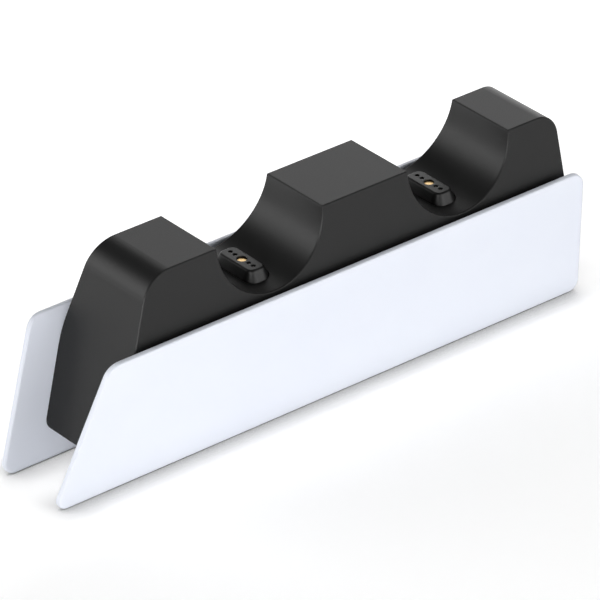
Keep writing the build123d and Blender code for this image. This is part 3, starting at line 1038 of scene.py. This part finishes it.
rings = [(SWEEP_RADIUS, 0.0)]
for step in range(1, BEND_STEPS + 1):
    angle = math.pi / 2 * step / BEND_STEPS
    rings.append((SWEEP_RADIUS + SWEEP_BEND * math.sin(angle), SWEEP_BEND * (1 - math.cos(angle))))
rings.append((SWEEP_RADIUS + SWEEP_BEND, SWEEP_BEND + SWEEP_WALL))

sweep_points = [(0.0, 0.0, 0.0)]
for radius, height in rings:
    for step in range(AROUND_STEPS):
        angle = 2 * math.pi * step / AROUND_STEPS
        sweep_points.append((radius * math.cos(angle), radius * math.sin(angle), height))
sweep_faces = [(0, 1 + i, 1 + (i + 1) % AROUND_STEPS) for i in range(AROUND_STEPS)]
for ring in range(len(rings) - 1):
    low = 1 + ring * AROUND_STEPS
    high = low + AROUND_STEPS
    for i in range(AROUND_STEPS):
        after = (i + 1) % AROUND_STEPS
        sweep_faces.append((low + i, high + i, high + after, low + after))
sweep_mesh = bpy.data.meshes.new("sweep")
sweep_mesh.from_pydata(sweep_points, [], sweep_faces)
sweep = bpy.data.objects.new("sweep", sweep_mesh)
bpy.context.scene.collection.objects.link(sweep)
print("sweep", 2 * (SWEEP_RADIUS + SWEEP_BEND), "m across,", len(sweep_faces), "faces")

# %% [markdown]
# ## The white of the paper
#
# The paper takes the dock's shadow. Where the camera or a mirror-like surface sees it directly, a
# white glow is added, which lifts it to paper white. It is weaker in front, where the lamps already
# reach the paper. Rays of diffuse light don't meet it, so the pale panels keep their own tone
# instead of burning out.
#
# Big soft lamps leave almost no shadow where the panels meet the paper, and the dock would seem to
# float. An Ambient Occlusion node measures how much of the sky the dock hides from the paper within
# a small distance, and a contact shadow is painted from it: it darkens the paper's colour and glow
# there, as a thin painted line of shade that fades outwards.

# %% White paper
GLOW_FRONT_Y = -0.05
GLOW_REAR_Y = 0.08
GLOW_FRONT = 0.48
GLOW_REAR = 0.85
CONTACT_REACH = 12 * MM
CONTACT_POWER = 1.2
CONTACT_SAMPLES = 4

paper = bpy.data.materials.new("white_paper")
paper.use_nodes = True
paper_tree = paper.node_tree
paper_tree.nodes.clear()
rays = add_node(paper_tree, "ShaderNodeLightPath")
camera_or_gloss = reckon(
    paper_tree, "MAXIMUM", rays.outputs["Is Camera Ray"], rays.outputs["Is Glossy Ray"]
)
seen_directly = reckon(
    paper_tree, "MAXIMUM", camera_or_gloss, rays.outputs["Is Transmission Ray"]
)
on_paper = add_node(paper_tree, "ShaderNodeTexCoord")
paper_axes = add_node(
    paper_tree, "ShaderNodeSeparateXYZ", inputs={"Vector": on_paper.outputs["Object"]}
)
glow_reach = add_node(
    paper_tree,
    "ShaderNodeMapRange",
    inputs={
        "Value": paper_axes.outputs["Y"],
        "From Min": GLOW_FRONT_Y,
        "From Max": GLOW_REAR_Y,
        "To Min": GLOW_FRONT,
        "To Max": GLOW_REAR,
    },
)
open_sky = add_node(
    paper_tree,
    "ShaderNodeAmbientOcclusion",
    {"samples": CONTACT_SAMPLES},
    {"Distance": CONTACT_REACH},
)
# Painted shade: the paper's colour and its glow are darkened where the dock hides the sky.
painted_contact_shade = reckon(paper_tree, "POWER", open_sky.outputs["AO"], CONTACT_POWER)
open_glow = reckon(paper_tree, "MULTIPLY", seen_directly, glow_reach.outputs["Result"])
glow_strength = reckon(paper_tree, "MULTIPLY", open_glow, painted_contact_shade)
# The paper's colour runs from its white to black with the painted contact shade.
paper_with_painted_shade = add_node(
    paper_tree,
    "ShaderNodeMix",
    {"data_type": "RGBA"},
    {"Factor": painted_contact_shade, COLOUR_A: colour("#000000"), COLOUR_B: colour("#F3F3F3")},
)
matt = add_node(
    paper_tree, "ShaderNodeBsdfDiffuse", inputs={"Color": paper_with_painted_shade.outputs[COLOUR_RESULT]}
)
glow = add_node(
    paper_tree,
    "ShaderNodeEmission",
    inputs={"Color": colour("#FFFFFF"), "Strength": glow_strength},
)
both = add_node(paper_tree, "ShaderNodeAddShader", inputs={0: matt.outputs[0], 1: glow.outputs[0]})
add_node(paper_tree, "ShaderNodeOutputMaterial", inputs={"Surface": both.outputs[0]})
sweep_mesh.materials.append(paper)
print(paper.name, "glows", GLOW_FRONT, "in front and", GLOW_REAR, "behind")

# %% [markdown]
# ## The light
#
# Black plastic is lit by what it mirrors. Its own colour returns barely a hundredth of the light,
# so the difference between its faces comes from the softboxes and from the dark room between
# them. Two boxes behind the dock grey the tops, a low box at the left greys the raked end, and the
# dark gap above it draws the black band along the rounded corner. The front box is there for the
# white panel, which it lights evenly. Nothing hangs overhead, so the top edge of that panel stays
# grey and draws a line between the white face and the black housing.
#
# How strong is each box? Light adds up, so we can render the dock once with each box alone, and
# work out the watts whose sum comes nearest to the tones we want.

# %% Lamps and room
ROOM_STRENGTH = 0.1

middle = (solid_box[0] + solid_box[1]) / 2


def softbox(name, place, size, watts):
    """A square area lamp that looks at the dock, and is itself out of the picture."""
    data = bpy.data.lights.new(name, "AREA")
    data.size = size
    data.energy = watts
    lamp = bpy.data.objects.new(name, data)
    lamp.location = place
    lamp.rotation_euler = (middle - Vector(place)).to_track_quat("-Z", "Y").to_euler()
    lamp.visible_camera = False
    bpy.context.scene.collection.objects.link(lamp)
    return lamp


softbox("back_right_softbox", place=(0.88, 0.82, 0.62), size=1.0, watts=3.7)
softbox("back_left_softbox", place=(-1.1, 1.2, 0.65), size=0.9, watts=8.0)
softbox("front_softbox", place=(0.7, -1.7, 0.62), size=1.6, watts=20.5)
softbox("low_left_softbox", place=(-1.3, -0.9, 0.25), size=0.8, watts=19.5)

room = bpy.data.worlds.new("dim_room")
bpy.context.scene.world = room
room.use_nodes = True
room.node_tree.nodes["Background"].inputs["Color"].default_value = colour("#FFFFFF")
room.node_tree.nodes["Background"].inputs["Strength"].default_value = ROOM_STRENGTH

# %% [markdown]
# ## The camera
#
# The photograph was taken with a long lens: edges that are parallel on the dock stay almost
# parallel in the picture. Its place was solved from measured corners, and it comes down to a
# heading, a height angle, a very small roll and a distance, from which we build the rotation.

# %% Camera
HEADING = math.radians(-39.944)
HEIGHT_ANGLE = math.radians(30.351)
ROLL = math.radians(0.263)
CAMERA_PLACE = Vector((-1.08738, -1.29933, 1.02457))
SENSOR = 36.0
LENS = 336.83
CLIP_START = 0.1
CLIP_END = 20.0

camera_data = bpy.data.cameras.new("long_lens")
camera_data.sensor_width = SENSOR
camera_data.lens = LENS
camera_data.clip_start = CLIP_START
camera_data.clip_end = CLIP_END
camera = bpy.data.objects.new("long_lens", camera_data)
turn = (
    Matrix.Rotation(HEADING, 4, "Z")
    @ Matrix.Rotation(math.pi / 2 - HEIGHT_ANGLE, 4, "X")
    @ Matrix.Rotation(ROLL, 4, "Z")
)
camera.matrix_world = Matrix.Translation(CAMERA_PLACE) @ turn
bpy.context.scene.collection.objects.link(camera)
bpy.context.scene.camera = camera
bpy.context.scene.view_settings.view_transform = "Standard"
print("camera stands", round((CAMERA_PLACE - middle).length, 3), "m away")
